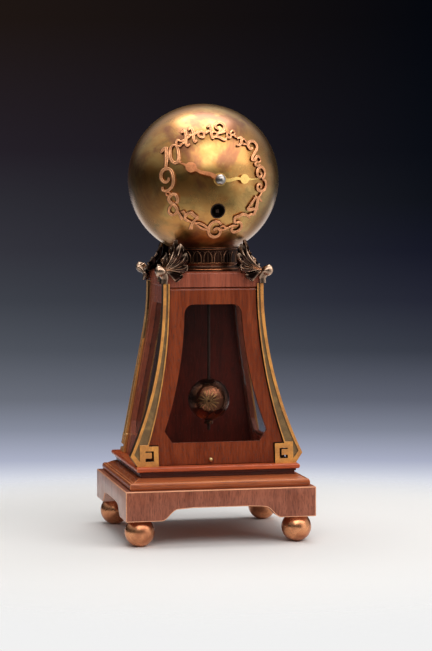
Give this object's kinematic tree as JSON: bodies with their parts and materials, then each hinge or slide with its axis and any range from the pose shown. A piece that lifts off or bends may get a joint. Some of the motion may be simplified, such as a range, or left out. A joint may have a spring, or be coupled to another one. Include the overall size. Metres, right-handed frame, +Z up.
{
  "type": "table clock",
  "caption": "Table clock with a ball head and pierced chapter ring on a flared, glazed wooden trunk, cast corner mounts, visible ball pendulum and ball feet.",
  "frame": {"origin": "on the floor plane under the middle of the base", "axes": "+Z up, the dial faces -Y, +X to the right as seen from the front"},
  "size_m": [0.1506, 0.14, 0.3431],
  "materials": {
    "foot_fl": "polished copper",
    "foot_fr": "polished copper",
    "foot_bl": "polished copper",
    "foot_br": "polished copper",
    "apron": "polished red-brown mahogany",
    "base_bead": "polished red-brown mahogany",
    "base_neck": "dark stained mahogany",
    "base_plate": "polished red-brown mahogany",
    "side_left": "polished red-brown mahogany",
    "side_right": "polished red-brown mahogany",
    "back_board": "dark stained mahogany",
    "head_block": "polished red-brown mahogany",
    "front_frame": "polished red-brown mahogany",
    "frame_pins": "brass",
    "frame_pull": "brass",
    "front_glass": "clear sheet glass",
    "left_glass": "clear sheet glass",
    "right_glass": "clear sheet glass",
    "mount_fl": "cast and patinated gilt metal",
    "mount_fr": "cast and patinated gilt metal",
    "mount_bl": "cast and patinated gilt metal",
    "mount_br": "cast and patinated gilt metal",
    "leaf_fl": "cast and patinated gilt metal",
    "leaf_fr": "cast and patinated gilt metal",
    "leaf_bl": "cast and patinated gilt metal",
    "leaf_br": "cast and patinated gilt metal",
    "collar": "dark patinated brass",
    "gallery": "cast and patinated gilt metal",
    "ball_front": "satin brass sheet with a blotched patina",
    "ball_rear": "satin brass sheet with a blotched patina",
    "rear_cap": "satin brass sheet with a blotched patina",
    "chapter_ring": "sawn copper sheet",
    "winding_eyelet": "turned steel",
    "hour_hand": "gilt brass",
    "minute_hand": "copper",
    "hand_nut": "turned steel",
    "plate_front": "brass",
    "plate_back": "brass",
    "pillars": "brass",
    "barrel": "brass",
    "winding_arbor": "turned steel",
    "centre_arbor": "brass",
    "cannon_pinion": "turned steel",
    "minute_wheel": "brass",
    "hour_wheel": "brass",
    "third_wheel": "brass",
    "escape_wheel": "brass",
    "anchor": "turned steel",
    "suspension_cock": "brass",
    "suspension_spring": "turned steel",
    "pendulum_rod": "turned steel",
    "bob": "polished copper-brown",
    "rating_nut": "brass"
  },
  "bodies": {
    "clock": {"foot_fl": "foot_fl", "foot_fr": "foot_fr", "foot_bl": "foot_bl", "foot_br": "foot_br", "apron": "apron", "base_bead": "base_bead", "base_neck": "base_neck", "base_plate": "base_plate", "side_left": "side_left", "side_right": "side_right", "back_board": "back_board", "head_block": "head_block", "left_glass": "left_glass", "right_glass": "right_glass", "mount_fl": "mount_fl", "mount_fr": "mount_fr", "mount_bl": "mount_bl", "mount_br": "mount_br", "leaf_fl": "leaf_fl", "leaf_fr": "leaf_fr", "leaf_bl": "leaf_bl", "leaf_br": "leaf_br", "collar": "collar", "gallery": "gallery", "ball_front": "ball_front", "ball_rear": "ball_rear", "chapter_ring": "chapter_ring", "winding_eyelet": "winding_eyelet", "plate_front": "plate_front", "plate_back": "plate_back", "pillars": "pillars", "suspension_cock": "suspension_cock"},
    "front_door": {"front_frame": "front_frame", "frame_pins": "frame_pins", "frame_pull": "frame_pull", "front_glass": "front_glass"},
    "rear_cover": {"rear_cap": "rear_cap"},
    "minute_motion": {"minute_hand": "minute_hand", "hand_nut": "hand_nut", "cannon_pinion": "cannon_pinion", "centre_arbor": "centre_arbor"},
    "hour_motion": {"hour_hand": "hour_hand", "hour_wheel": "hour_wheel"},
    "minute_wheel_body": {"minute_wheel": "minute_wheel"},
    "barrel_body": {"barrel": "barrel"},
    "winding": {"winding_arbor": "winding_arbor"},
    "third": {"third_wheel": "third_wheel"},
    "escape": {"escape_wheel": "escape_wheel"},
    "anchor_body": {"anchor": "anchor"},
    "pendulum": {"suspension_spring": "suspension_spring", "pendulum_rod": "pendulum_rod", "bob": "bob"},
    "rating": {"rating_nut": "rating_nut"}
  },
  "joints": [
    {"name": "front_door_open", "type": "hinge", "parent": "clock", "child": "front_door", "pos_m": [0, -0.03452, 0.1962], "axis": [-1, 0, 0], "range_deg": [0, 60]},
    {"name": "rear_cover_pull", "type": "slide", "parent": "clock", "child": "rear_cover", "axis": [0, 1, 0], "range_m": [0, 0.04]},
    {"name": "minute_turn", "type": "hinge", "parent": "clock", "child": "minute_motion", "pos_m": [0, 0, 0.28308], "axis": [0, 1, 0], "continuous": true},
    {"name": "hour_turn", "type": "hinge", "parent": "clock", "child": "hour_motion", "pos_m": [0, 0, 0.28308], "axis": [0, 1, 0], "continuous": true},
    {"name": "minute_wheel_turn", "type": "hinge", "parent": "clock", "child": "minute_wheel_body", "pos_m": [0.0097, 0, 0.27748], "axis": [0, 1, 0], "continuous": true},
    {"name": "barrel_turn", "type": "hinge", "parent": "clock", "child": "barrel_body", "pos_m": [0, 0, 0.25878], "axis": [0, 1, 0], "continuous": true},
    {"name": "winding_turn", "type": "hinge", "parent": "clock", "child": "winding", "pos_m": [0, 0, 0.25878], "axis": [0, 1, 0], "continuous": true},
    {"name": "third_wheel_turn", "type": "hinge", "parent": "clock", "child": "third", "pos_m": [-0.00905, 0, 0.29608], "axis": [0, 1, 0], "continuous": true},
    {"name": "escape_wheel_turn", "type": "hinge", "parent": "clock", "child": "escape", "pos_m": [0, 0, 0.30538], "axis": [0, 1, 0], "continuous": true},
    {"name": "anchor_rock", "type": "hinge", "parent": "clock", "child": "anchor_body", "pos_m": [0, 0, 0.31808], "axis": [0, 1, 0], "range_deg": [-3, 3]},
    {"name": "pendulum_swing", "type": "hinge", "parent": "clock", "child": "pendulum", "pos_m": [0, -0.02, 0.31808], "axis": [0, 1, 0], "range_deg": [-3, 3]},
    {"name": "rating_nut_turn", "type": "hinge", "parent": "pendulum", "child": "rating", "pos_m": [0, -0.02, 0.10938], "axis": [0, 0, 1], "continuous": true}
  ],
  "couplings": [
    {"joint": "hour_turn", "follows": "minute_turn", "ratio": 0.083333},
    {"joint": "minute_wheel_turn", "follows": "minute_turn", "ratio": -0.33333},
    {"joint": "barrel_turn", "follows": "minute_turn", "ratio": -0.21429},
    {"joint": "third_wheel_turn", "follows": "minute_turn", "ratio": -10},
    {"joint": "anchor_rock", "follows": "pendulum_swing", "ratio": 1}
  ]
}
